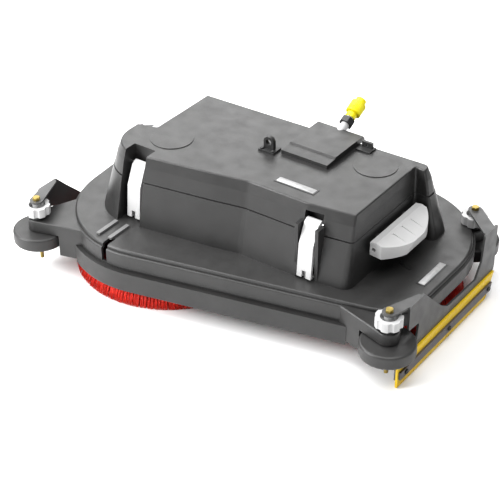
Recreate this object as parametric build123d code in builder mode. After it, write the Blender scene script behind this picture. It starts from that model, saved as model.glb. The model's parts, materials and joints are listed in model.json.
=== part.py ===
from build123d import *
import math
import os

os.makedirs("parts", exist_ok=True)

# Twin-disc scrub deck of a floor scrubber. Millimetres, +Z up, floor at Z = 0,
# +X to the machine's right, +Y to its rear, origin midway between the two brush axes.

# ---------------------------------------------------------------- driving dimensions
brush_radius = 191  # bristle tips on the floor
brush_x = 182  # brush axes at (-x, -y) and (+x, +y)
brush_y = 66
skirt_plane = 388  # inner face of the side skirt carriers, +-X
skirt_shift = -80  # the left skirt stands this much further forward than the right one
front_knob = (368, -163)  # height adjuster axes of the right skirt
rear_knob = (332, 208)
platform_top = 120
hood_top = 258

# heights of the deck
rail_bottom = 36
rail_top = 78
wall_bottom = 84
flange_top = 113
platform_inset = 5  # step in from the flange to the platform
deck_wall = 5
arm_bottom = 90
root_bottom = 46

rail_reach = {-1: 9, 1: 17}  # how far the front and rear rails stand out past the deck edge
gearbox_opening = 44  # radius
notch_centres = ((-193, -248), (173, -210))  # notches in the front edge
notch_width = 12

# corner rollers and height adjusters
roller_radius = 51
roller_bottom = 61
roller_top = 88
roller_gap = 4
axle_radius = 10
bolt_radius = 4
run_fit = 0.06  # radial clearance of a running fit
loose_fit = 0.4  # radial clearance of a plain clearance hole
knob_radius = 25
boss_radius = 16
knob_bottom = 122
knob_height = 22
tab_bottom = 146
tab_top = 150

# hood
hood_shoulder = 207
hood_flare = 8  # how far the foot of the wall stands out past the plan outline
hood_lean = 12  # how far the wall leans in past the plan outline at the shoulder
hood_step = 1.5  # shadow step at the shoulder
groove_height = 2.5  # groove that runs round the shoulder
groove_depth = 3
hood_knee = 238  # the slope leans in more above this height
hood_knee_inset = 20
hood_inset = 27  # inset of the flat top
hood_edge = 3  # rounding of the top edge
hood_wall = 4

brushes = {"left": (-brush_x, -brush_y), "right": (brush_x, brush_y)}
knobs = {
    "front_right": front_knob,
    "rear_right": rear_knob,
    "front_left": (-front_knob[0], front_knob[1] + skirt_shift),
    "rear_left": (-rear_knob[0], rear_knob[1] + skirt_shift),
}
latches = {"left": (-202, -147), "right": (173, -126)}  # x, and y of the closed latch
latch_width = 30
slot_widths = {"left": 50, "right": 36}
slot_depth = 36  # behind the closed latch
slot_lead = 60  # the slot is open this far ahead of the latch
pedal_centres = {"left": 56, "right": 24}  # middle of each pedal along Y
side_sign = {"left": -1, "right": 1}
on_base = (Align.CENTER, Align.CENTER, Align.MIN)  # stands on its plane


def finish(piece, name):
    """Label a finished piece and write its file."""
    piece.part.label = name
    export_step(piece.part, f"parts/{name}.step")


def rim_edges(piece, radius):
    """Circular edges of a piece that have a given radius."""
    rings = piece.edges().filter_by(GeomType.CIRCLE)
    return rings.filter_by(lambda edge: abs(edge.radius - radius) < 0.01)


# ---------------------------------------------------------------- plan outlines
deck_circles = [
    (-brush_x, -brush_y, 190),
    (brush_x, brush_y, 203),
    (290, -52, 95),
    (-285, 40, 95),
]


def hull_of(circles, grow=0.0):
    """Face of the convex hull of some circles, each grown by the same margin."""
    with BuildSketch() as outline:
        with BuildLine():
            for x, y, radius in circles:
                CenterArc((x, y), radius + grow, 0, 360)
        make_hull()
    return outline.sketch


def arm_circles(corner):
    """Tip and root circles of a corner arm, the root lying inside the deck."""
    x, y = knobs[corner]
    tip = 20 if "front" in corner else 22
    root_x = x - math.copysign(82, x)
    root_y = y + (70 if "front" in corner else -70)
    return [(x, y, tip), (root_x, root_y, 66)]


# ---------------------------------------------------------------- deck
with BuildPart() as deck_shell:
    with BuildSketch(Plane.XY.offset(wall_bottom)):
        add(hull_of(deck_circles))
    extrude(amount=flange_top - wall_bottom)
    for corner in knobs:
        with BuildSketch(Plane.XY.offset(arm_bottom)):
            add(hull_of(arm_circles(corner)))
        extrude(amount=flange_top - arm_bottom)
        with BuildSketch(Plane.XY.offset(root_bottom)):
            add(hull_of(arm_circles(corner)))
            with Locations(knobs[corner]):
                Circle(roller_radius + roller_gap, mode=Mode.SUBTRACT)
        extrude(amount=arm_bottom - root_bottom)
    fillet(deck_shell.faces().sort_by(Axis.Z)[-1].outer_wire().edges(), 3)
    with BuildSketch(Plane.XY.offset(flange_top)):
        add(hull_of(deck_circles, -platform_inset))
    extrude(amount=platform_top - flange_top)
    fillet(deck_shell.faces().sort_by(Axis.Z)[-1].outer_wire().edges(), 4)
    # hollow underside
    with BuildSketch(Plane.XY.offset(root_bottom)):
        add(hull_of(deck_circles, -deck_wall))
    extrude(amount=flange_top - deck_wall - root_bottom, mode=Mode.SUBTRACT)
    with BuildSketch(Plane.XY.offset(flange_top - deck_wall)):
        add(hull_of(deck_circles, -platform_inset - deck_wall))
    extrude(amount=platform_top - flange_top, mode=Mode.SUBTRACT)
    # bosses under the star knobs
    for x, y in knobs.values():
        with BuildSketch(Plane.XY.offset(arm_bottom)):
            with Locations((x, y)):
                Circle(boss_radius)
        extrude(amount=knob_bottom - arm_bottom)
    # roller slots, adjuster bores and gearbox openings
    for x, y in knobs.values():
        with BuildSketch(Plane.XY.offset(root_bottom)):
            with Locations((x, y)):
                Circle(roller_radius + roller_gap)
        extrude(amount=arm_bottom - root_bottom, mode=Mode.SUBTRACT)
        with BuildSketch(Plane.XY.offset(root_bottom)):
            with Locations((x, y)):
                Circle(bolt_radius + loose_fit)
        extrude(amount=knob_bottom - root_bottom, mode=Mode.SUBTRACT)
    with BuildSketch(Plane.XY.offset(flange_top - deck_wall)):
        with Locations(*brushes.values()):
            Circle(gearbox_opening)
    extrude(amount=2 * (platform_top - flange_top), mode=Mode.SUBTRACT)
    # notches in the front edge
    for x, y in notch_centres:
        with Locations((x, y, flange_top)):
            Box(notch_width, 40, 60, mode=Mode.SUBTRACT)
finish(deck_shell, "deck_shell")


def splash_rail(side):
    """Rounded rail under the deck edge; side is -1 for the front and +1 for the rear."""
    reach = rail_reach[side]
    with BuildPart() as rail:
        for low, high, outer in ((rail_bottom, rail_top, reach), (rail_top, wall_bottom, -1.5)):
            with BuildSketch(Plane.XY.offset(low)):
                add(hull_of(deck_circles, outer))
                add(hull_of(deck_circles, -6), mode=Mode.SUBTRACT)
                for corner in knobs:
                    add(hull_of(arm_circles(corner), 0.6), mode=Mode.SUBTRACT)
                with Locations(*knobs.values()):
                    Circle(roller_radius + roller_gap, mode=Mode.SUBTRACT)
                with Locations((0, side * 200)):
                    Rectangle(640, 400, mode=Mode.INTERSECT)
            extrude(amount=high - low)
        long_edges = rail.edges().group_by(Axis.Z)[0].sort_by(SortBy.LENGTH)[-1:]
        fillet(long_edges, 5)
    return rail


for name, side in (("front_rail", -1), ("rear_rail", 1)):
    finish(splash_rail(side), name)

# light guide bars ahead of the left latch, from the hood to the deck edge
bar_height = 4
bar_ends = (-234, -180)  # along Y
with BuildPart() as guide_bars:
    for dx in (-14, 14):
        with Locations((latches["left"][0] - 8 + dx, sum(bar_ends) / 2, platform_top + bar_height / 2)):
            Box(8, bar_ends[1] - bar_ends[0], bar_height)
finish(guide_bars, "guide_bars")

# roller axles: a tube under each arm with a pear-shaped foot plate below the roller
foot_bottom = roller_bottom - 8
foot_top = roller_bottom - 1
foot_tail = 20  # reach of the pointed end towards the deck
with BuildPart() as roller_axles:
    for corner, (x, y) in knobs.items():
        root_x, root_y, _ = arm_circles(corner)[1]
        reach = math.hypot(root_x - x, root_y - y)
        foot = [(x, y, 18), (x + (root_x - x) * foot_tail / reach, y + (root_y - y) * foot_tail / reach, 7)]
        with BuildSketch(Plane.XY.offset(foot_bottom)):
            add(hull_of(foot))
        extrude(amount=foot_top - foot_bottom)
        with BuildSketch(Plane.XY.offset(foot_top)):
            with Locations((x, y)):
                Circle(axle_radius)
        extrude(amount=arm_bottom - foot_top)
        with BuildSketch(Plane.XY.offset(foot_bottom)):
            with Locations((x, y)):
                Circle(bolt_radius + loose_fit)
        extrude(amount=arm_bottom - foot_bottom, mode=Mode.SUBTRACT)
finish(roller_axles, "roller_axles")

# ---------------------------------------------------------------- drive
frame_bottom = 101
frame_top = 108
gearbox_top = 140
gearbox_radius = 40
gearbox_step = 12  # height of the narrower upper part
motor_radius = 36
motor_height = 90
motor_cap_height = 12
shaft_radius = 12

with BuildPart() as inner_frame:
    with BuildSketch(Plane.XY.offset(frame_bottom)):
        add(hull_of([(x, y, 66) for x, y in brushes.values()]))
        for x, y in brushes.values():
            add(hull_of([(x, y, 30), (x, -y, 30)]))
        with Locations(*brushes.values()):
            Circle(shaft_radius + 6, mode=Mode.SUBTRACT)
        with GridLocations(120, 0, 2, 1):
            SlotOverall(90, 40, mode=Mode.SUBTRACT)
    extrude(amount=frame_top - frame_bottom)
finish(inner_frame, "inner_frame")

for side, (x, y) in brushes.items():
    with BuildPart() as gearbox:
        with BuildSketch(Plane.XY.offset(frame_top)):
            with Locations((x, y)):
                Circle(gearbox_radius)
                Circle(shaft_radius + run_fit, mode=Mode.SUBTRACT)
        extrude(amount=gearbox_top - frame_top - gearbox_step)
        with BuildSketch(Plane.XY.offset(gearbox_top - gearbox_step)):
            with Locations((x, y)):
                Circle(gearbox_radius - 2)
        extrude(amount=gearbox_step)
    finish(gearbox, f"gearbox_{side}")

    with BuildPart() as motor:
        with BuildSketch(Plane.XY.offset(gearbox_top)):
            with Locations((x, y)):
                Circle(motor_radius)
        extrude(amount=motor_height)
        fillet(motor.faces().sort_by(Axis.Z)[-1].edges(), 6)
        with BuildSketch(Plane.XY.offset(gearbox_top + motor_height)):
            with Locations((x, y)):
                Circle(18)
        extrude(amount=motor_cap_height)
    finish(motor, f"motor_{side}")

screw_bottom = frame_bottom - 5
with BuildPart() as motor_screws:
    for x, y in brushes.values():
        with Locations(Plane((x, y, screw_bottom))):
            with PolarLocations(30, 4, 45):
                Cylinder(6, frame_bottom - screw_bottom, align=on_base)
finish(motor_screws, "motor_screws")

# ---------------------------------------------------------------- brushes
plate_bottom = 46
plate_top = 59
plate_radius = 174
ring_outer = 173  # bristle ring where it leaves the plate
ring_inner = 78
ring_inner_foot = 96  # inner edge of the bristles on the floor

for side, (x, y) in brushes.items():
    axis = Plane((x, y, 0), x_dir=(1, 0, 0), z_dir=(0, -1, 0))  # radial section, local Y is up

    with BuildPart() as hub:
        with BuildSketch(axis):
            Polygon(
                (0, plate_top), (46, plate_top), (46, 70), (30, 78), (30, 92), (shaft_radius, 92),
                (shaft_radius, 124), (0, 124), align=None,
            )
        revolve(axis=Axis((x, y, 0), (0, 0, 1)))
    finish(hub, f"drive_hub_{side}")

    with BuildPart() as plate:
        with BuildSketch(Plane.XY.offset(plate_bottom)):
            with Locations((x, y)):
                Circle(plate_radius)
        extrude(amount=plate_top - plate_bottom)
        fillet(plate.faces().sort_by(Axis.Z)[-1].edges(), 5)
        with BuildSketch(Plane.XY.offset(plate_bottom)):
            with Locations((x, y)):
                Circle(34)
        extrude(amount=plate_top - plate_bottom - 4, mode=Mode.SUBTRACT)
    finish(plate, f"brush_plate_{side}")

    with BuildPart() as bristles:
        with BuildSketch(axis):
            Polygon(
                (ring_inner_foot, 0), (brush_radius, 0), (ring_outer, plate_bottom),
                (ring_inner, plate_bottom), align=None,
            )
        revolve(axis=Axis((x, y, 0), (0, 0, 1)))
    finish(bristles, f"bristles_{side}")

# ---------------------------------------------------------------- hood
# corners of the plan outline of the hood: x, y, which way each moves as the wall leans in, rounding
hood_corners = [
    (-298, -182, 1, 1, 84),
    (-34, -139, 0, 1, 60),
    (30, -126, 0, 1, 60),
    (158, -126, 0, 1, 60),
    (256, -112, -0.3, 1, 16),
    (256, 110, -0.3, 0.3, 9),
    (296, 106, -1, 0.3, 9),
    (296, 164, -1, -1, 30),
    (-250, 148, 0.7, -1, 14),
    (-250, -30, 0.7, -0.3, 9),
    (-298, -40, 1, -0.3, 9),
]


def hood_outline(height, inset):
    """Plan outline of the hood at a height, moved in by an inset."""
    points = [(x + dx * inset, y + dy * inset) for x, y, dx, dy, _ in hood_corners]
    radii = [max(radius - 0.6 * inset, 4) for *_, radius in hood_corners]
    with BuildSketch(Plane.XY.offset(height)) as outline:
        with BuildLine():
            FilletPolyline(*points, radius=radii, close=True)
        make_face()
    return outline.sketch


def hood_body(foot, top, margin):
    """Solid of the hood between two heights, inside its outer skin by a margin."""
    with BuildPart() as body:
        loft(
            [hood_outline(foot, margin - hood_flare), hood_outline(hood_shoulder, margin + hood_lean)],
            ruled=True,
        )
        extrude(hood_outline(hood_shoulder, margin + hood_lean + groove_depth), amount=groove_height)
        slope = (
            (hood_shoulder + groove_height, hood_lean + hood_step),
            (hood_knee, hood_knee_inset),
            (top, hood_inset),
        )
        for (low, low_inset), (high, high_inset) in zip(slope, slope[1:]):
            loft([hood_outline(low, margin + low_inset), hood_outline(high, margin + high_inset)], ruled=True)
    return body.part


inlet_axis = Plane((70, 118, 252), x_dir=(1, 0, 0), z_dir=(0, 0.899, 0.438))
pipe_radius = 8.5
pipe_length = 60
bore_radius = 5.5
pedal_pin = (269, 178)  # x and z of the right pedal hinge
pedal_shift = {"left": 16, "right": 0}  # the left pedal stands this much further out
pin_radius = 4
lug_spread = 46  # hinge lugs either side of a pedal's middle
lug_thickness = 8
pin_length = 2 * lug_spread + 12
slot_top = {"left": hood_top + 1, "right": 246}
motor_marks = ((-181, -56), (187, 78))  # raised discs above the motors
motor_mark_radius = 41
motor_mark_height = 1.2
latch_pin = (24, 226)  # y behind the hood's front wall, and z
latch_pin_radius = 3
latch_pin_reach = 2  # how far each pin goes into the hood at either end



def hinge_point(side):
    """Middle of a pedal's hinge axis."""
    return (side_sign[side] * (pedal_pin[0] + pedal_shift[side]), pedal_centres[side], pedal_pin[1])


with BuildPart() as hood_cavity:
    add(hood_body(platform_top - 1, hood_top - hood_wall, hood_wall))
    for side, (x, y) in latches.items():
        with Locations((x, y + (slot_depth - slot_lead) / 2, 190)):
            Box(slot_widths[side] + 8, slot_depth + slot_lead + 8, 150, mode=Mode.SUBTRACT)

with BuildPart() as hood:
    add(hood_body(platform_top, hood_top, 0))
    fillet(hood.faces().sort_by(Axis.Z)[-1].edges(), hood_edge)
    # shallow raised discs over the motors
    with BuildSketch(Plane.XY.offset(hood_top)):
        with Locations(*motor_marks):
            Circle(motor_mark_radius)
    extrude(amount=motor_mark_height)
    # raised surround of the right latch
    x, y = latches["right"]
    with Locations((x, y + 8, platform_top + 54)):
        Box(slot_widths["right"] + 14, 20, 108)
    # hinge lugs of the pedals
    for side, sign in side_sign.items():
        for dy in (-lug_spread, lug_spread):
            with Locations((sign * (261 + pedal_shift[side] / 2), pedal_centres[side] + dy, pedal_pin[1])):
                Box(34 + pedal_shift[side], lug_thickness, 18)
    add(hood_cavity.part, mode=Mode.SUBTRACT)
    for side, (x, y) in latches.items():
        height = slot_top[side] - platform_top
        with Locations((x, y + (slot_depth - slot_lead) / 2, platform_top + height / 2)):
            Box(slot_widths[side], slot_depth + slot_lead, height, mode=Mode.SUBTRACT)
        with Locations(Plane((x, y + latch_pin[0], latch_pin[1]), z_dir=(1, 0, 0))):
            Cylinder(latch_pin_radius, slot_widths[side] + 2 * latch_pin_reach, mode=Mode.SUBTRACT)
    for side, sign in side_sign.items():
        with Locations(Plane(hinge_point(side), z_dir=(0, 1, 0))):
            Cylinder(pin_radius, pin_length, mode=Mode.SUBTRACT)
    with Locations(inlet_axis):
        Cylinder(pipe_radius, 90, mode=Mode.SUBTRACT)
finish(hood, "hood")

# hinge pins fixed in the hood
with BuildPart() as latch_pins:
    for side, (x, y) in latches.items():
        with Locations(Plane((x, y + latch_pin[0], latch_pin[1]), z_dir=(1, 0, 0))):
            Cylinder(latch_pin_radius, slot_widths[side] + 2 * latch_pin_reach)
finish(latch_pins, "latch_pins")

with BuildPart() as pedal_pins:
    for side, sign in side_sign.items():
        with Locations(Plane(hinge_point(side), z_dir=(0, 1, 0))):
            Cylinder(pin_radius, pin_length)
finish(pedal_pins, "pedal_pins")

# hooks on the deck that the latches close over
hook_height = 14
with BuildPart() as latch_catches:
    for x, y in latches.values():
        with Locations((x, y + 8, platform_top + 1.5)):
            Box(24, 12, 3)
        with Locations((x, y + 3, platform_top + hook_height / 2)):
            Box(7, 10, hook_height)
finish(latch_catches, "latch_catches")

# ---------------------------------------------------------------- latches
for side, (x, y) in latches.items():
    section = Plane((x - latch_width / 2, y, 0), x_dir=(0, 1, 0), z_dir=(1, 0, 0))
    with BuildPart() as latch:
        with BuildSketch(section):
            Polygon((-9, 125), (-3, 190), (14, 228), (24, 233), (30, 222), (5, 187), (-4, 125), align=None)
            with Locations(latch_pin):
                Circle(7)
        extrude(amount=latch_width)
        with Locations(Plane((x, y + latch_pin[0], latch_pin[1]), z_dir=(1, 0, 0))):
            Cylinder(latch_pin_radius + run_fit, latch_width + 10, mode=Mode.SUBTRACT)
        # notch that takes the hook
        with Locations((x, y, 128)):
            Box(9, 24, 22, mode=Mode.SUBTRACT)
    finish(latch, f"latch_{side}")

# ---------------------------------------------------------------- pedals
pedal_length = 160
pedal_inner = 261
pedal_outer = 315
for side, sign in side_sign.items():
    middle = pedal_centres[side]
    shift = pedal_shift[side]
    inner, outer, corner_x = (sign * (x + shift) for x in (pedal_inner, pedal_outer, 284))
    groove_start, groove_end = (sign * (x + shift) for x in (280, 344))
    ends = (middle - pedal_length / 2, middle + pedal_length / 2)
    section = Plane((0, ends[1], 0), x_dir=(1, 0, 0), z_dir=(0, -1, 0))
    with BuildPart() as pedal:
        with BuildSketch(section):
            Polygon(
                (inner, 166), (inner, 192), (sign * (274 + shift), 194), (outer, 180),
                (outer - sign * 4, 160), (sign * (281 + shift), 164), align=None,
            )
        extrude(amount=pedal_length)
        # curved outer side, seen from above
        with BuildSketch(Plane.XY.offset(150)):
            with BuildLine():
                Polyline(
                    (inner, ends[1]), (inner, ends[0]), (corner_x, ends[0])
                )
                ThreePointArc(
                    (corner_x, ends[0]), (outer, middle - 14), (corner_x, ends[1])
                )
                Line((corner_x, ends[1]), (inner, ends[1]))
            make_face()
        extrude(amount=60, mode=Mode.INTERSECT)
        # grip grooves across the tread
        for dy in (-34, -4, 26):
            with BuildSketch(Plane((0, middle + dy, 0), x_dir=(1, 0, 0), z_dir=(0, -1, 0))):
                Polygon(
                    (groove_start, 196), (groove_end, 178), (groove_end, 172), (groove_start, 190),
                    align=None,
                )
            extrude(amount=2.5, both=True, mode=Mode.SUBTRACT)
        # pockets for the hinge lugs, and the pin bore
        for dy in (-lug_spread, lug_spread):
            with Locations((sign * (268 + shift), middle + dy, 174)):
                Box(24, 10, 30, mode=Mode.SUBTRACT)
        with Locations(Plane(hinge_point(side), z_dir=(0, 1, 0))):
            Cylinder(pin_radius + run_fit, pedal_length, mode=Mode.SUBTRACT)
        # recess of the return spring
        with Locations((sign * (268 + shift), middle, 174)):
            Box(24, 20, 30, mode=Mode.SUBTRACT)
    finish(pedal, f"pedal_{side}")

spring_radius = 6.5
spring_length = 14
with BuildPart() as pedal_springs:
    for side, sign in side_sign.items():
        hinge = Plane(hinge_point(side), z_dir=(0, 1, 0))
        with Locations(hinge):
            Cylinder(spring_radius, spring_length)
            Cylinder(pin_radius, spring_length, mode=Mode.SUBTRACT)
        with Locations((sign * (260 + pedal_shift[side] / 2), pedal_centres[side] + 6, pedal_pin[1] + 5.5)):
            Box(9 + pedal_shift[side], 2, 2)
finish(pedal_springs, "pedal_springs")

# ---------------------------------------------------------------- lifting eye, connector cover
eye_x, eye_y = -5, 14
eye_foot = hood_top + 4  # top of the foot plate
eye_centre = hood_top + 18
eye_half_width = 11
eye_hole_radius = 6
with BuildPart() as lifting_eye:
    with Locations((eye_x, eye_y, (hood_top + eye_foot) / 2)):
        Box(34, 26, eye_foot - hood_top)
    with BuildSketch(Plane((eye_x, eye_y, 0), x_dir=(1, 0, 0), z_dir=(0, -1, 0))):
        with Locations((0, (eye_foot + eye_centre) / 2)):
            Rectangle(2 * eye_half_width, eye_centre - eye_foot)
        with Locations((0, eye_centre)):
            Circle(eye_half_width)
            Circle(eye_hole_radius, mode=Mode.SUBTRACT)
    extrude(amount=4, both=True)
finish(lifting_eye, "lifting_eye")

with BuildPart() as eye_screws:
    for dx in (-12, 12):
        with Locations((eye_x + dx, eye_y - 8, eye_foot)):
            Cylinder(3.5, 2.5, align=on_base)
finish(eye_screws, "eye_screws")

cover_x = (20, 121)
cover_y = (16, 146)
cover_top = hood_top + 12
with BuildPart() as connector_cover:
    section = Plane((cover_x[0], 0, 0), x_dir=(0, 1, 0), z_dir=(1, 0, 0))
    with BuildSketch(section):
        Polygon(
            (cover_y[0], hood_top), (cover_y[0], cover_top - 4), (42, cover_top - 3), (45, cover_top),
            (cover_y[1] - 6, cover_top), (cover_y[1], cover_top - 8), (cover_y[1], hood_top), align=None,
        )
    extrude(amount=cover_x[1] - cover_x[0])
    with Locations(inlet_axis):
        Cylinder(pipe_radius + 1, 90, mode=Mode.SUBTRACT)
finish(connector_cover, "connector_cover")

bracket_x, bracket_y = 141, 124
with BuildPart() as cover_bracket:
    with Locations((bracket_x, bracket_y - 6, hood_top + 1.5)):
        Box(30, 24, 3)
    with Locations((bracket_x, bracket_y, hood_top + 7)):
        Box(22, 6, 14)
    with Locations(Plane((bracket_x, bracket_y, hood_top + 8), z_dir=(0, 1, 0))):
        Cylinder(2.5, 20, mode=Mode.SUBTRACT)
finish(cover_bracket, "cover_bracket")

# ---------------------------------------------------------------- water inlet
nut_start = 44  # distances along the inlet axis
nut_length = 12
coupling_length = 46
coupling_radius = 10.5
sleeve_start = 71
sleeve_length = 26
sleeve_radius = 15.5
with BuildPart() as inlet_pipe:
    with Locations(inlet_axis):
        Cylinder(pipe_radius, pipe_length, align=on_base)
        Cylinder(bore_radius, pipe_length, align=on_base, mode=Mode.SUBTRACT)
finish(inlet_pipe, "inlet_pipe")

with BuildPart() as inlet_nut:
    with BuildSketch(inlet_axis.offset(nut_start)):
        RegularPolygon(14.5, 6)
        Circle(pipe_radius, mode=Mode.SUBTRACT)
    extrude(amount=nut_length)
finish(inlet_nut, "inlet_nut")

with BuildPart() as coupling_body:
    with BuildSketch(inlet_axis.offset(pipe_length)):
        Circle(coupling_radius)
        Circle(bore_radius, mode=Mode.SUBTRACT)
    extrude(amount=coupling_length)
finish(coupling_body, "coupling_body")

with BuildPart() as coupling_sleeve:
    with BuildSketch(inlet_axis.offset(sleeve_start)):
        Circle(sleeve_radius)
        Circle(coupling_radius + run_fit, mode=Mode.SUBTRACT)
    extrude(amount=sleeve_length)
    fillet(rim_edges(coupling_sleeve, sleeve_radius), 1.5)
finish(coupling_sleeve, "coupling_sleeve")

manifold_y = 104
manifold_z = 218
manifold_half = 109  # x of the two drop pipes
tube_radius = 6
with BuildPart() as water_manifold:
    with Locations(Plane((0, manifold_y, manifold_z), z_dir=(1, 0, 0))):
        Cylinder(tube_radius, 2 * (manifold_half + tube_radius))
    for x in (-manifold_half, manifold_half):
        with Locations((x, manifold_y, (manifold_z + platform_top) / 2)):
            Cylinder(tube_radius, manifold_z - platform_top)
finish(water_manifold, "water_manifold")

# ---------------------------------------------------------------- blank label plates, slot cap
label_thickness = 0.8
with BuildPart() as hood_label:
    with Locations((107, -62, hood_top + label_thickness / 2)):
        Box(86, 20, label_thickness)
finish(hood_label, "hood_label")

with BuildPart() as deck_label:
    with Locations((352, 14, platform_top + label_thickness / 2)):
        Box(18, 84, label_thickness)
finish(deck_label, "deck_label")

with BuildPart() as slot_cap:
    with BuildSketch(Plane.XY.offset(platform_top)):
        with Locations((300, 10)):
            SlotOverall(30, 10, rotation=-22)
    extrude(amount=1.5)
finish(slot_cap, "slot_cap")

# ---------------------------------------------------------------- side skirts
lip_thickness = 4
carrier_thickness = 4
lip_bottom = 1
lip_top = 50
strip_bottom = 17
strip_top = 33
lip_plane = skirt_plane + carrier_thickness
strip_plane = lip_plane + lip_thickness
strip_thickness = 4
screw_y = {"left": (-76, 40, 154), "right": (-148, 4, 154)}
screw_z = 25
bolt_bottom = 18
lip_fronts = {"left": -96, "right": -172}  # front end of each lip, the left one stopping behind its roller
tab_spans = ((-123, -94), (172, 149))  # where the front and rear tabs join the skirt, along Y

for side, sign in side_sign.items():
    shift = skirt_shift if side == "left" else 0
    front = (sign * front_knob[0], front_knob[1] + shift)
    rear = (sign * rear_knob[0], rear_knob[1] + shift)

    def across(distance):
        """Upright plane parallel to the skirt, facing away from the deck."""
        return Plane((sign * distance, shift, 0), x_dir=(0, sign, 0), z_dir=(sign, 0, 0))

    lip_front = lip_fronts[side]
    front_foot = [(-98, 12)]
    if side == "right":
        front_foot = [(-170, 12), (-170, lip_top - 2), (-104, lip_top - 2)]
    profile = front_foot + [
        (-98, 97), (-134, 100), (-134, tab_top), (-84, tab_top), (-60, 126), (-16, 84), (6, 70),
        (112, 66), (132, 96), (138, tab_top), (186, tab_top), (186, 60), (172, 12),
    ]

    with BuildPart() as carrier:
        with BuildSketch(across(skirt_plane)):
            with BuildLine():
                FilletPolyline(*[(sign * y, z) for y, z in profile], radius=4, close=True)
            make_face()
        extrude(amount=carrier_thickness)
        # tabs over the height adjusters
        for (x, y), span in zip((front, rear), tab_spans):
            joins = [(sign * (lip_plane - 5.5), end + shift, 5) for end in span]
            with BuildSketch(Plane.XY.offset(tab_bottom)):
                add(hull_of([(x, y, 13)] + joins))
            extrude(amount=tab_top - tab_bottom)
            with BuildSketch(Plane.XY.offset(tab_bottom)):
                with Locations((x, y)):
                    Circle(bolt_radius)
            extrude(amount=tab_top - tab_bottom, mode=Mode.SUBTRACT)
    finish(carrier, f"skirt_carrier_{side}")

    with BuildPart() as lip:
        with BuildSketch(across(lip_plane)):
            Polygon(
                (sign * lip_front, lip_bottom), (sign * lip_front, lip_top), (sign * 180, lip_top),
                (sign * 152, lip_bottom), align=None,
            )
        extrude(amount=lip_thickness)
    finish(lip, f"lip_{side}")

    with BuildPart() as strip:
        with BuildSketch(across(strip_plane)):
            Polygon(
                (sign * (lip_front + 4), strip_bottom), (sign * (lip_front + 4), strip_top),
                (sign * 168, strip_top),
                (sign * 160, strip_bottom), align=None,
            )
        extrude(amount=strip_thickness)
    finish(strip, f"clamp_strip_{side}")

    with BuildPart() as screws:
        for y in screw_y[side]:
            head = (sign * (strip_plane + strip_thickness), y + shift, screw_z)
            with Locations(Plane(head, z_dir=(sign, 0, 0))):
                Cylinder(5, 3, align=on_base)
    finish(screws, f"strip_screws_{side}")

    with BuildPart() as bolts:
        for x, y in (front, rear):
            with BuildSketch(Plane.XY.offset(bolt_bottom)):
                with Locations((x, y)):
                    Circle(bolt_radius)
            extrude(amount=tab_top - bolt_bottom)
            with BuildSketch(Plane.XY.offset(tab_top)):
                with Locations((x, y)):
                    RegularPolygon(7.5, 6)
            extrude(amount=6)
    finish(bolts, f"adjuster_bolts_{side}")

# ---------------------------------------------------------------- corner rollers and star knobs
short = {"front_left": "fl", "front_right": "fr", "rear_left": "rl", "rear_right": "rr"}
for corner, (x, y) in knobs.items():
    with BuildPart() as roller:
        with BuildSketch(Plane.XY.offset(roller_bottom)):
            with Locations((x, y)):
                Circle(roller_radius)
                Circle(axle_radius + run_fit, mode=Mode.SUBTRACT)
        extrude(amount=roller_top - roller_bottom)
        fillet(rim_edges(roller, roller_radius), 5)
    finish(roller, f"roller_{short[corner]}")

    with BuildPart() as knob:
        with BuildSketch(Plane.XY.offset(knob_bottom)):
            with Locations((x, y)):
                Circle(knob_radius)
                with PolarLocations(knob_radius + 4, 7):
                    Circle(7, mode=Mode.SUBTRACT)
        extrude(amount=knob_height - 4)
        with BuildSketch(Plane.XY.offset(knob_bottom + 7)):
            with Locations((x, y)):
                Circle(16)
                Circle(9, mode=Mode.SUBTRACT)
        extrude(amount=knob_height, mode=Mode.SUBTRACT)
        with BuildSketch(Plane.XY.offset(knob_bottom)):
            with Locations((x, y)):
                Circle(9)
        extrude(amount=knob_height)
        with BuildSketch(Plane.XY.offset(knob_bottom)):
            with Locations((x, y)):
                Circle(bolt_radius + run_fit)
        extrude(amount=knob_height, mode=Mode.SUBTRACT)
    finish(knob, f"star_knob_{short[corner]}")
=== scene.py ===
import json
import math
import random

import bpy
from mathutils import Matrix, Vector


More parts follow.
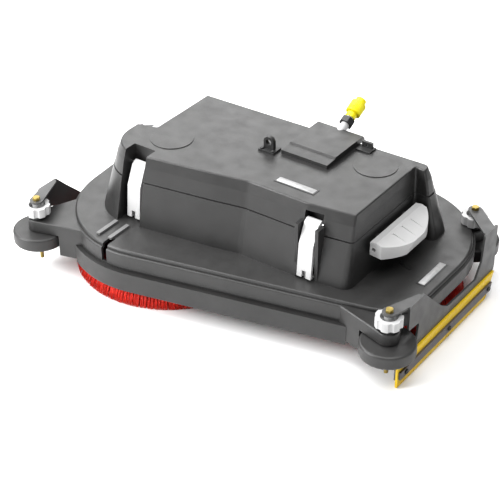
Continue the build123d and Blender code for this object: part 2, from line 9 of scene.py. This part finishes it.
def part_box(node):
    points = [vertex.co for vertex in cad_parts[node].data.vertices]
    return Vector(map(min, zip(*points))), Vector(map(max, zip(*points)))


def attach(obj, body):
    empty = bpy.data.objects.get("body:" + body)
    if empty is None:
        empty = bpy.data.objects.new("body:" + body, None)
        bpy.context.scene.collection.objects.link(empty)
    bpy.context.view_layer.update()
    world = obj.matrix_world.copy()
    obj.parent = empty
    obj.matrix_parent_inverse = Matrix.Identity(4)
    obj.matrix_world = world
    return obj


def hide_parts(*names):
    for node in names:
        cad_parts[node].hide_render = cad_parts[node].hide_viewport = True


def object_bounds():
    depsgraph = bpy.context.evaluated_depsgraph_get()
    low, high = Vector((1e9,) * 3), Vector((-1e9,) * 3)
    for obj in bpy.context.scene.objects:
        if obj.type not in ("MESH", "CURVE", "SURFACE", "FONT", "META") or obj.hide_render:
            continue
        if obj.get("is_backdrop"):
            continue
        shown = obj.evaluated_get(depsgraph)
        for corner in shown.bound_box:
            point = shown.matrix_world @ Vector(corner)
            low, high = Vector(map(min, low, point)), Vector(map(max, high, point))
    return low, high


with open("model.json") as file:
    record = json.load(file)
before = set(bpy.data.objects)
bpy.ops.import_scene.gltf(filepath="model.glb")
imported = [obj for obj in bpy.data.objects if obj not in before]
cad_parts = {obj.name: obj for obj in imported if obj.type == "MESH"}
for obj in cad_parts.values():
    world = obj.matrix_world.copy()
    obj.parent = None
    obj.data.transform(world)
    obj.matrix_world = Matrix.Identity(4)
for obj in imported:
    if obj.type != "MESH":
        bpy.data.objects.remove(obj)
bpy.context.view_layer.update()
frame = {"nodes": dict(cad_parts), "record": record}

nodes = frame["nodes"]
random.seed(7)


# ---------------------------------------------------------------- mesh helpers
def piece(name, shape, material, body, replaces=(), smooth=True):
    """New mesh piece with its finish, body and the nodes it stands for.

    shape is a (verts, faces) pair."""
    verts, faces = shape
    mesh = bpy.data.meshes.new(name)
    mesh.from_pydata([tuple(v) for v in verts], [], faces)
    mesh.update()
    obj = bpy.data.objects.new(name, mesh)
    bpy.context.scene.collection.objects.link(obj)
    obj.data.materials.append(material)
    if smooth:
        mesh.polygons.foreach_set("use_smooth", [True] * len(mesh.polygons))
    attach(obj, body)
    if replaces:
        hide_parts(*replaces)


def round_edges(obj, width):
    """Rounded moulded edges with even shading."""
    mod = obj.modifiers.new("edge_round", "BEVEL")
    mod.width = width
    mod.segments = 2
    mod.limit_method = "ANGLE"
    mod.angle_limit = math.radians(28)
    mod.use_clamp_overlap = True
    normal = obj.modifiers.new("even_normals", "WEIGHTED_NORMAL")
    normal.keep_sharp = True


def centre(node):
    """Middle of the box of a CAD node."""
    low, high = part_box(node)
    return (Vector(low) + Vector(high)) / 2


def skin(loops, ring=False):
    """Closed surface through loops of equal length; ring joins the last loop to the first."""
    count = len(loops[0])
    total = len(loops)
    verts = [v for loop in loops for v in loop]
    faces = []
    for i in range(total if ring else total - 1):
        a, b = i * count, (i + 1) % total * count
        for k in range(count):
            after = (k + 1) % count
            faces.append((a + k, a + after, b + after, b + k))
    if not ring:
        faces.append(tuple(range(count - 1, -1, -1)))
        faces.append(tuple(range((total - 1) * count, total * count)))
    return verts, faces


def joined(shapes):
    """Several (verts, faces) shapes as one."""
    verts, faces = [], []
    for some_verts, some_faces in shapes:
        start = len(verts)
        verts += some_verts
        faces += [tuple(i + start for i in face) for face in some_faces]
    return verts, faces


def stand(point, axis):
    """Matrix whose Z runs along an axis from a point."""
    return Matrix.Translation(point) @ Vector(axis).to_track_quat("Z", "Y").to_matrix().to_4x4()


def loop_at(place, radius, height, count=24):
    """Loop round Z of a matrix; the radius may depend on the angle."""
    points = []
    for k in range(count):
        angle = 2 * math.pi * k / count
        size = radius(angle) if callable(radius) else radius
        points.append(place @ Vector((size * math.cos(angle), size * math.sin(angle), height)))
    return points


def hexagon(size):
    """Radius of a hexagon with a given corner radius, by angle."""
    step = math.pi / 3
    return lambda angle: size * math.cos(step / 2) / math.cos(angle % step - step / 2)


def tube(points, radius, sides=8):
    """Round wire through some points."""
    loops = []
    for i, point in enumerate(points):
        ahead = points[min(i + 1, len(points) - 1)] - points[max(i - 1, 0)]
        across = ahead.cross(Vector((0, 1, 0.001))).normalized()
        other = ahead.cross(across).normalized()
        loops.append([point + (across * math.cos(a) + other * math.sin(a)) * radius
                      for a in (2 * math.pi * k / sides for k in range(sides))])
    return skin(loops)


def socket_screw(place, size, height):
    """Low domed screw head with a hexagon socket."""
    # rings of the dome, as shares of the size and of the height
    dome = ((1.0, 0), (1.0, 0.55), (0.93, 0.8), (0.76, 0.96), (0.58, 1.0))
    socket = hexagon(0.5 * size)
    loops = [loop_at(place, wide * size, share * height) for wide, share in dome]
    loops += [loop_at(place, socket, share * height) for share in (1.0, 0.35)]
    return skin(loops)


def rounded_plate(middle, width, depth, height, corner):
    """Thin plate with rounded corners standing on its middle point."""
    def outline(inset, z):
        points = []
        for sx, sy, start in ((1, 1, 0), (-1, 1, 90), (-1, -1, 180), (1, -1, 270)):
            for step in range(7):
                a = math.radians(start + 15 * step)
                x = sx * (width / 2 - corner) + (corner - inset) * math.cos(a)
                y = sy * (depth / 2 - corner) + (corner - inset) * math.sin(a)
                points.append(middle + Vector((x, y, z)))
        return points

    return skin([outline(0, 0), outline(0, 0.6 * height), outline(0.3 * height, height)])


# ---------------------------------------------------------------- materials
edge_reach = 0.0024  # how far the lighter edge colour (worn edges and a painted highlight) spreads from an edge
worn_highlight_patch = 0.009  # size of the patches that break up the worn, highlighted edges


def finish(name, dark, light, rough, grain, bump, metal=0.0, wear_and_highlight=0.25, patch=0.06, subsurface=0.0,
           stretch=(1, 1, 1)):
    """Moulded or machined surface: mottled colour, uneven gloss, fine grain, lighter edges that are
    partly worn and partly a painted highlight.

    dark and light are the two ends of the mottling, rough the range of roughness, grain the size of
    the surface texture in metres, patch the size of the mottling in metres, wear the amount of
    lighter colour on edges, partly worn edges and partly a painted highlight, stretch the scale of
    the textures along each axis."""
    mat = bpy.data.materials.new(name)
    mat.use_nodes = True
    tree = mat.node_tree
    tree.nodes.clear()
    node = tree.nodes.new
    link = tree.links.new

    out = node("ShaderNodeOutputMaterial")
    bsdf = node("ShaderNodeBsdfPrincipled")
    link(bsdf.outputs["BSDF"], out.inputs["Surface"])
    bsdf.inputs["Metallic"].default_value = metal
    bsdf.inputs["Subsurface Weight"].default_value = subsurface

    place = node("ShaderNodeTexCoord")
    scale = node("ShaderNodeMapping")
    scale.inputs["Scale"].default_value = stretch
    link(place.outputs["Object"], scale.inputs["Vector"])

    def noise(size, detail=4.0):
        tex = node("ShaderNodeTexNoise")
        tex.inputs["Scale"].default_value = 1 / size
        tex.inputs["Detail"].default_value = detail
        link(scale.outputs["Vector"], tex.inputs["Vector"])
        return tex

    def ramp(source, low, high, start=0.3, end=0.7):
        made = node("ShaderNodeMapRange")
        made.inputs["From Min"].default_value = start
        made.inputs["From Max"].default_value = end
        made.inputs["To Min"].default_value = low
        made.inputs["To Max"].default_value = high
        link(source, made.inputs["Value"])
        return made.outputs["Result"]

    broad = noise(patch)
    fine = noise(grain, 2.0)

    # mottled colour
    colour = node("ShaderNodeMix")
    colour.data_type = "RGBA"
    colour.inputs["A"].default_value = (*dark, 1)
    colour.inputs["B"].default_value = (*light, 1)
    blend = node("ShaderNodeMath")
    blend.operation = "ADD"
    link(ramp(broad.outputs["Fac"], 0.0, 0.7), blend.inputs[0])
    link(ramp(fine.outputs["Fac"], 0.0, 0.3), blend.inputs[1])
    link(blend.outputs["Value"], colour.inputs["Factor"])

    # lighter edges: partly worn edges, partly a painted highlight where edges catch the light
    soft = node("ShaderNodeBevel")
    soft.samples = 3
    soft.inputs["Radius"].default_value = edge_reach
    shape = node("ShaderNodeNewGeometry")
    differ = node("ShaderNodeVectorMath")
    differ.operation = "DOT_PRODUCT"
    link(soft.outputs["Normal"], differ.inputs[0])
    link(shape.outputs["Normal"], differ.inputs[1])
    worn_and_lit = node("ShaderNodeMath")
    worn_and_lit.operation = "MULTIPLY"
    link(ramp(differ.outputs["Value"], wear_and_highlight, 0.0, 0.72, 0.995), worn_and_lit.inputs[0])
    link(ramp(noise(worn_highlight_patch).outputs["Fac"], 0.2, 1.0, 0.35, 0.65), worn_and_lit.inputs[1])
    edged = node("ShaderNodeMix")
    edged.data_type = "RGBA"
    link(worn_and_lit.outputs["Value"], edged.inputs["Factor"])
    link(colour.outputs["Result"], edged.inputs["A"])
    # pale edge colour, standing for worn edges and for a painted highlight
    worn_highlight_colour = [min(1.0, c * 1.9 + 0.03) for c in light]
    edged.inputs["B"].default_value = (*worn_highlight_colour, 1)
    link(edged.outputs["Result"], bsdf.inputs["Base Color"])

    # uneven gloss
    link(ramp(noise(patch * 0.4).outputs["Fac"], *rough), bsdf.inputs["Roughness"])

    # fine grain
    relief = node("ShaderNodeBump")
    relief.inputs["Strength"].default_value = bump
    relief.inputs["Distance"].default_value = grain * 0.35
    link(fine.outputs["Fac"], relief.inputs["Height"])
    link(relief.outputs["Normal"], bsdf.inputs["Normal"])
    return mat


def grey(value, warm=0.0):
    """Grey that may lean to the warm side."""
    return (value * (1 + warm), value, value * (1 - warm))


# lighter edges are set strongest on the deck and hood: partly worn edges, partly a painted
# highlight
look_table = {
    "deck_plastic": dict(
        dark=grey(0.028, 0.01), light=grey(0.040, 0.01), rough=(0.34, 0.46), grain=0.0011,
        bump=0.35, wear_and_highlight=0.5,
    ),
    "hood_plastic": dict(
        dark=grey(0.024, 0.01), light=grey(0.034, 0.01), rough=(0.32, 0.44), grain=0.0011,
        bump=0.35, wear_and_highlight=0.5,
    ),
    "rail_plastic": dict(
        dark=grey(0.026, 0.01), light=grey(0.038, 0.01), rough=(0.36, 0.50), grain=0.0013,
        bump=0.25,
    ),
    "grey_plastic": dict(
        dark=grey(0.50), light=grey(0.57), rough=(0.38, 0.52), grain=0.0008, bump=0.15,
        wear_and_highlight=0.3,
    ),
    "white_plastic": dict(
        dark=grey(0.42), light=grey(0.52), rough=(0.40, 0.55), grain=0.0008, bump=0.12,
    ),
    "roller_plastic": dict(
        dark=grey(0.032, 0.01), light=grey(0.044, 0.01), rough=(0.38, 0.52), grain=0.0011,
        bump=0.25,
    ),
    "bristle_red": dict(
        dark=(0.66, 0.032, 0.024), light=(0.95, 0.085, 0.055), rough=(0.35, 0.5), grain=0.002,
        bump=0.1, wear_and_highlight=0.0, patch=0.012,
    ),
    "brush_plate": dict(
        dark=(0.30, 0.012, 0.010), light=(0.42, 0.020, 0.016), rough=(0.45, 0.6), grain=0.0012,
        bump=0.2,
    ),
    "lip_yellow": dict(
        dark=(0.62, 0.40, 0.010), light=(0.74, 0.50, 0.018), rough=(0.35, 0.5), grain=0.0014,
        bump=0.12, subsurface=0.05,
    ),
    "strip_dark": dict(
        dark=(0.105, 0.098, 0.105), light=(0.14, 0.132, 0.14), rough=(0.35, 0.5), grain=0.0009,
        bump=0.15, metal=0.4, stretch=(1, 0.1, 1),
    ),
    "carrier_black": dict(
        dark=grey(0.055), light=grey(0.080), rough=(0.35, 0.52), grain=0.0010, bump=0.25,
    ),
    "zinc_yellow": dict(
        dark=(0.24, 0.18, 0.05), light=(0.42, 0.33, 0.12), rough=(0.32, 0.45), grain=0.0006,
        bump=0.1, metal=0.9, patch=0.008,
    ),
    "steel": dict(
        dark=grey(0.40), light=grey(0.55), rough=(0.22, 0.4), grain=0.0006, bump=0.1,
        metal=1.0, patch=0.02,
    ),
    "frame_paint": dict(
        dark=grey(0.02), light=grey(0.035), rough=(0.4, 0.55), grain=0.002, bump=0.2,
    ),
    "gear_alloy": dict(
        dark=grey(0.30), light=grey(0.38), rough=(0.45, 0.6), grain=0.0008, bump=0.4,
        metal=0.8,
    ),
    "motor_paint": dict(
        dark=grey(0.03), light=grey(0.05), rough=(0.35, 0.5), grain=0.0009, bump=0.3,
    ),
    "coupling_yellow": dict(
        dark=(0.72, 0.60, 0.004), light=(0.82, 0.72, 0.010), rough=(0.3, 0.42), grain=0.0009,
        bump=0.1, subsurface=0.05,
    ),
    "nut_black": dict(
        dark=grey(0.020), light=grey(0.032), rough=(0.35, 0.5), grain=0.0008, bump=0.2,
    ),
    "label_grey": dict(
        dark=grey(0.020), light=grey(0.026), rough=(0.3, 0.4), grain=0.0005, bump=0.05,
    ),
    "label_pale": dict(
        dark=grey(0.30), light=grey(0.36), rough=(0.3, 0.4), grain=0.0005, bump=0.05,
        patch=0.004,
    ),
    "bar_grey": dict(
        dark=grey(0.13), light=grey(0.18), rough=(0.38, 0.52), grain=0.0008, bump=0.15,
    ),
    "screw_dark": dict(
        dark=grey(0.05), light=grey(0.09), rough=(0.3, 0.45), grain=0.0005, bump=0.1,
        metal=0.8,
    ),
    # painted shade: a darker red for the shaded bristles inside the brush
    "bristle_core_shade": dict(
        dark=(0.16, 0.006, 0.005), light=(0.30, 0.012, 0.009), rough=(0.5, 0.7), grain=0.0015,
        bump=0.4, wear_and_highlight=0.0, patch=0.006,
    ),
}
looks = {name: finish(name, **settings) for name, settings in look_table.items()}

# every CAD node takes the finish of its slot
for part in frame["record"]["subparts"]:
    obj = nodes[part["node"]]
    obj.data.materials.clear()
    obj.data.materials.append(looks[part["material_slot"]])
# the guide bars are a darker grey than the latches and pedals
nodes["guide_bars"].data.materials[0] = looks["bar_grey"]

# ---------------------------------------------------------------- rounded edges
corners = ("fl", "fr", "rl", "rr")
sides = ("left", "right")
edge_rounding = {
    "hood": 0.0040, "connector_cover": 0.0018, "deck_shell": 0.0012, "guide_bars": 0.0012,
    "front_rail": 0.0014, "rear_rail": 0.0014, "lifting_eye": 0.0012, "cover_bracket": 0.0008,
    "inlet_nut": 0.001, "coupling_body": 0.0008, "slot_cap": 0.0004, "latch_catches": 0.0008,
}
for stem, ends, width in (
    ("latch_", sides, 0.0016), ("pedal_", sides, 0.0022), ("skirt_carrier_", sides, 0.0008),
    ("lip_", sides, 0.0007), ("clamp_strip_", sides, 0.0006), ("star_knob_", corners, 0.0009),
    ("roller_", corners, 0.001),
):
    edge_rounding.update({stem + end: width for end in ends})
for node, width in edge_rounding.items():
    round_edges(nodes[node], width)

# ---------------------------------------------------------------- bristles
# rows of tufts: radius at the plate and at the floor, number of tufts, strands per tuft
tuft_rows = (
    (0.1710, 0.1896, 168, 10),
    (0.1650, 0.1850, 158, 6),
    (0.1590, 0.1790, 150, 4),
    (0.0815, 0.0985, 80, 6),
)
strand_top = 0.00055  # radius of a strand at the plate
strand_foot = 0.00048  # radius of a strand at the floor
strand_corners = (0.5, 2.6, 4.7)  # angles of the corners of its three-sided section
# angle a tuft spans at the plate and at the floor, in radians times the number of tufts in its row
tuft_gather = 2.6
tuft_spread = 5.2
foot_stray = 0.5  # how far a strand's foot may stray sideways, in the same measure
tuft_stray = 0.12  # how far a tuft may stand off its place, as a share of the spacing
reach_range = (-0.0018, 0.0006)  # how far a foot may end inside or outside its row
lift_range = (0.0, 0.0012)  # how far a foot may end above the floor line
bow_range = (-0.0012, 0.0010)  # how far a strand may bow inward or outward
plate_gap = 0.0002  # between the brush plate and the tops of strands and core
core_top = (0.0850, 0.1550)  # inner and outer radius of the core at the plate
core_low = (0.1020, 0.1730)  # inner and outer radius at its lower edge
core_foot = 0.005  # height of its lower edge above the strand ends
core_ripples = 150
ripple_depth = 0.0012
core_steps = 600


def strand(top, foot, bow):
    """One nylon filament, bowed a little inward or outward."""
    loops = []
    for share in (0.0, 0.55, 1.0):
        point = top.lerp(foot, share) + bow * (4 * share * (1 - share))
        size = strand_top + (strand_foot - strand_top) * share
        loops.append([
            point + Vector((size * math.cos(a), size * math.sin(a), 0)) for a in strand_corners
        ])
    return skin(loops[::-1])


def round_hub(hub, radius, angle, height):
    """Point round the axis of a brush."""
    return Vector((hub.x + radius * math.cos(angle), hub.y + radius * math.sin(angle), height))


for side in ("left", "right"):
    node = "bristles_" + side
    low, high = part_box(node)
    hub = centre(node)
    strands = []
    for top_radius, foot_radius, count, per_tuft in tuft_rows:
        for k in range(count):
            middle = 2 * math.pi * (k + random.uniform(-tuft_stray, tuft_stray)) / count
            for n in range(per_tuft):
                share = (n + 0.5) / per_tuft - 0.5
                top_angle = middle + share * tuft_gather / count
                astray = random.uniform(-foot_stray, foot_stray)
                foot_angle = middle + (share * tuft_spread + astray) / count
                reach = foot_radius + random.uniform(*reach_range)
                top = round_hub(hub, top_radius, top_angle, high[2] - plate_gap)
                foot = round_hub(hub, reach, foot_angle, low[2] + random.uniform(*lift_range))
                outward = Vector((math.cos(middle), math.sin(middle), 0))
                strands.append(strand(top, foot, outward * random.uniform(*bow_range)))
    piece("bristle_tufts_" + side, joined(strands), looks["bristle_red"], "brush_" + side,
          (node,))
    # darker core behind the outer strands; its dark red is painted shade for the shaded inside of
    # the bristle mass
    base = Matrix.Translation((hub.x, hub.y, 0))
    upper = high[2] - plate_gap
    lower = low[2] + core_foot
    core = (
        (core_top[1], upper), (core_low[1], lower), (core_low[0], lower), (core_top[0], upper),
    )
    loops = []
    for radius, height in core:
        def rippled(angle, radius=radius):
            return radius + ripple_depth * math.cos(core_ripples * angle)
        loops.append(loop_at(base, rippled, height, core_steps))
    piece("bristle_core_shade_" + side, skin(loops, ring=True), looks["bristle_core_shade"], "brush_" + side,
          (node,))

# ---------------------------------------------------------------- adjuster bolts
joints = {joint["name"]: joint for joint in frame["record"]["behaviour"]["joints"]}
thread_pitch = 0.002
thread_depth = 0.0005
thread_sides = 18
rings_per_turn = 4
shank = 0.00395  # outer radius of the thread
head_size = 0.0075  # corner radius of the hexagon
head_height = 0.006
head_chamfer = 0.0012
head_rim = 0.0061  # radius where the chamfer meets the top face
head_face = 0.0030  # radius of the level middle of the top face
face_rise = 0.0001


def thread(height):
    """Radius of the thread at a height, by angle."""
    def radius(angle):
        turn = (height / thread_pitch - angle / (2 * math.pi)) % 1
        return shank - thread_depth * abs(2 * turn - 1)
    return radius


for side, ends in (("left", ("fl", "rl")), ("right", ("fr", "rr"))):
    node = "adjuster_bolts_" + side
    low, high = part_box(node)
    shapes = []
    for end in ends:
        x, y, _ = joints["star_knob_%s_turn" % end]["pos_m"]
        base = Matrix.Translation((x, y, 0))
        under = high[2] - head_height
        steps = int((under - low[2]) / (thread_pitch / rings_per_turn))
        heights = [low[2] + (under - low[2]) * i / steps for i in range(steps + 1)]
        shapes.append(skin([loop_at(base, thread(z), z, thread_sides) for z in heights]))
        shapes.append(skin([
            loop_at(base, hexagon(head_size), under),
            loop_at(base, hexagon(head_size), high[2] - head_chamfer),
            loop_at(base, head_rim, high[2] - face_rise),
            loop_at(base, head_face, high[2]),
        ]))
    piece("threaded_bolts_" + side, joined(shapes), looks["zinc_yellow"], "skirt_" + side,
          (node,), smooth=False)

# ---------------------------------------------------------------- screw heads
# where the middle screw stands, as a share of the way from the front screw to the rear one
middle_screw = {"left": 116 / 230, "right": 152 / 302}
for side, sign in (("left", -1), ("right", 1)):
    node = "strip_screws_" + side
    low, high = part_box(node)
    screw = (high[2] - low[2]) / 2
    inner = low[0] if sign > 0 else high[0]
    ends = (low[1] + screw, high[1] - screw)
    spots = (ends[0], ends[0] + (ends[1] - ends[0]) * middle_screw[side], ends[1])
    level = (low[2] + high[2]) / 2
    heads = [
        socket_screw(stand((inner, y, level), (sign, 0, 0)), screw, high[0] - low[0]) for y in spots
    ]
    piece("socket_screws_" + side, joined(heads), looks["screw_dark"], "skirt_" + side,
          (node,))

low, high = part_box("eye_screws")
size = (high[1] - low[1]) / 2
middle_y = (low[1] + high[1]) / 2
heads = [
    socket_screw(stand((x, middle_y, low[2]), (0, 0, 1)), size, high[2] - low[2])
    for x in (low[0] + size, high[0] - size)
]
piece("eye_socket_screws", joined(heads), looks["screw_dark"], "deck", ("eye_screws",))

# ---------------------------------------------------------------- hose coupling
inlet = next(m for m in frame["record"]["mounts"] if m["name"] == "water_inlet_bore")
along = Vector(inlet["axis"]).normalized()
sleeve_radius = 0.0155
sleeve_bore = 0.01057
sleeve_length = 0.026
grip_ribs = 28
sleeve_steps = 168
place = stand(centre("coupling_sleeve") - along * sleeve_length / 2, along)


def ribbed(size, depth):
    """Radius with grip ribs, by angle."""
    return lambda angle: size - depth * (0.5 + 0.5 * math.cos(grip_ribs * angle)) ** 2


# along the sleeve: change of radius, distance, depth of the ribs
profile = (
    (-0.0020, 0.0000, 0), (-0.0004, 0.0012, 0), (0, 0.0030, 0), (-0.0003, 0.0042, 0.0011),
    (0, 0.0215, 0.0011), (0, 0.0228, 0), (-0.0004, 0.0250, 0), (-0.0020, 0.0260, 0),
)
loops = [
    loop_at(place, ribbed(sleeve_radius + change, depth), z, sleeve_steps)
    for change, z, depth in profile
]
loops += [loop_at(place, sleeve_bore, z, sleeve_steps) for z in (sleeve_length, 0)]
piece("ribbed_sleeve", skin(loops, ring=True), looks["coupling_yellow"], "coupling_sleeve",
      ("coupling_sleeve",))

# ---------------------------------------------------------------- pedal springs
wire = 0.0009  # radius of the wire
coil = 0.0052  # radius of the winding
turns = 6
turn_steps = 16
spring_width = 0.012
leg_length = 0.010
leg_offset = 0.0002  # along the pin, over the length of the leg
shapes = []
for side, sign in (("left", -1), ("right", 1)):
    x, y, z = joints["pedal_%s_press" % side]["pos_m"]
    points = []
    for k in range(turns * turn_steps + 1):
        angle = 2 * math.pi * k / turn_steps + math.pi / 2
        along_pin = spring_width * (k / (turns * turn_steps) - 0.5)
        points.append(Vector((
            x + sign * coil * math.cos(angle), y + along_pin, z + coil * math.sin(angle),
        )))
    points.append(points[-1] + Vector((-sign * leg_length, leg_offset, 0)))
    shapes.append(tube(points, wire))
piece("wound_springs", joined(shapes), looks["steel"], "deck", ("pedal_springs",))

# ---------------------------------------------------------------- label insets
inset_height = 0.0005
inset_corner = 0.002
inset_sink = 0.0002  # depth of the inset's foot below the label's face
# border is how much smaller the inset is than its label, both ways
for node, border in (("hood_label", 0.006), ("deck_label", 0.005)):
    low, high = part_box(node)
    middle = centre(node)
    middle.z = high[2] - inset_sink
    plate = rounded_plate(middle, high[0] - low[0] - border, high[1] - low[1] - border,
                          inset_height, inset_corner)
    piece(node + "_inset", plate, looks["label_pale"], "deck")

# ---------------------------------------------------------------- camera
azimuth = math.radians(35.89)
elevation = math.radians(34.094)
roll = math.radians(0.407)
distance = 2.6274
target = Vector((0.06534, -0.14808, 0.150))
back = Vector((
    math.sin(azimuth) * math.cos(elevation), -math.cos(azimuth) * math.cos(elevation),
    math.sin(elevation),
))
right = Vector((math.cos(azimuth), math.sin(azimuth), 0))
up = back.cross(right)
right_rolled = right * math.cos(roll) - up * math.sin(roll)
up_rolled = right * math.sin(roll) + up * math.cos(roll)
camera = bpy.data.objects.new("camera", bpy.data.cameras.new("camera"))
bpy.context.scene.collection.objects.link(camera)
turn = Matrix((right_rolled, up_rolled, back)).transposed().to_4x4()
camera.matrix_world = Matrix.Translation(target + back * distance) @ turn
camera.data.sensor_width = 36
camera.data.lens = 104.66
bpy.context.scene.camera = camera

# ---------------------------------------------------------------- studio
def studio_light(name, place, aim, energy, size):
    """Rectangular soft box that faces a point."""
    data = bpy.data.lights.new(name, "AREA")
    data.energy = energy
    data.shape = "RECTANGLE"
    data.size, data.size_y = size
    lamp = bpy.data.objects.new(name, data)
    bpy.context.scene.collection.objects.link(lamp)
    lamp.location = place
    lamp.rotation_mode = "QUATERNION"
    lamp.rotation_quaternion = (Vector(aim) - Vector(place)).to_track_quat("-Z", "Y")


studio_light("key", (-1.9, 0.0, 2.7), (0, 0, 0.1), 80, (1.8, 1.8))
studio_light("front", (-1.9, -2.4, 1.7), (0, 0, 0.1), 120, (1.6, 1.4))
studio_light("sheen", (-1.5, 2.3, 1.75), (0, 0, 0.2), 50, (3.0, 1.6))
studio_light("top", (0.8, -0.4, 3.0), (0.1, 0, 0.1), 75, (2.6, 2.6))

world = bpy.data.worlds.new("studio")
bpy.context.scene.world = world
world.use_nodes = True
background = world.node_tree.nodes["Background"]
background.inputs["Color"].default_value = (1, 1, 1, 1)
background.inputs["Strength"].default_value = 0.27
bpy.context.scene.view_settings.view_transform = "Standard"
bpy.context.scene.view_settings.look = "Medium High Contrast"

# pale floor
floor_mesh = bpy.data.meshes.new("floor")
half_floor = 14
floor_mesh.from_pydata(
    [(half_floor * x, half_floor * y, 0) for x, y in ((-1, -1), (1, -1), (1, 1), (-1, 1))], [],
    [(0, 1, 2, 3)],
)
floor = bpy.data.objects.new("floor", floor_mesh)
bpy.context.scene.collection.objects.link(floor)
floor_look = bpy.data.materials.new("floor_white")
floor_look.use_nodes = True
shader = floor_look.node_tree.nodes["Principled BSDF"]
shader.inputs["Base Color"].default_value = (0.93, 0.93, 0.93, 1)
shader.inputs["Roughness"].default_value = 0.8
floor.data.materials.append(floor_look)
floor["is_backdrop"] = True

# ---------------------------------------------------------------- size
low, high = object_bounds()
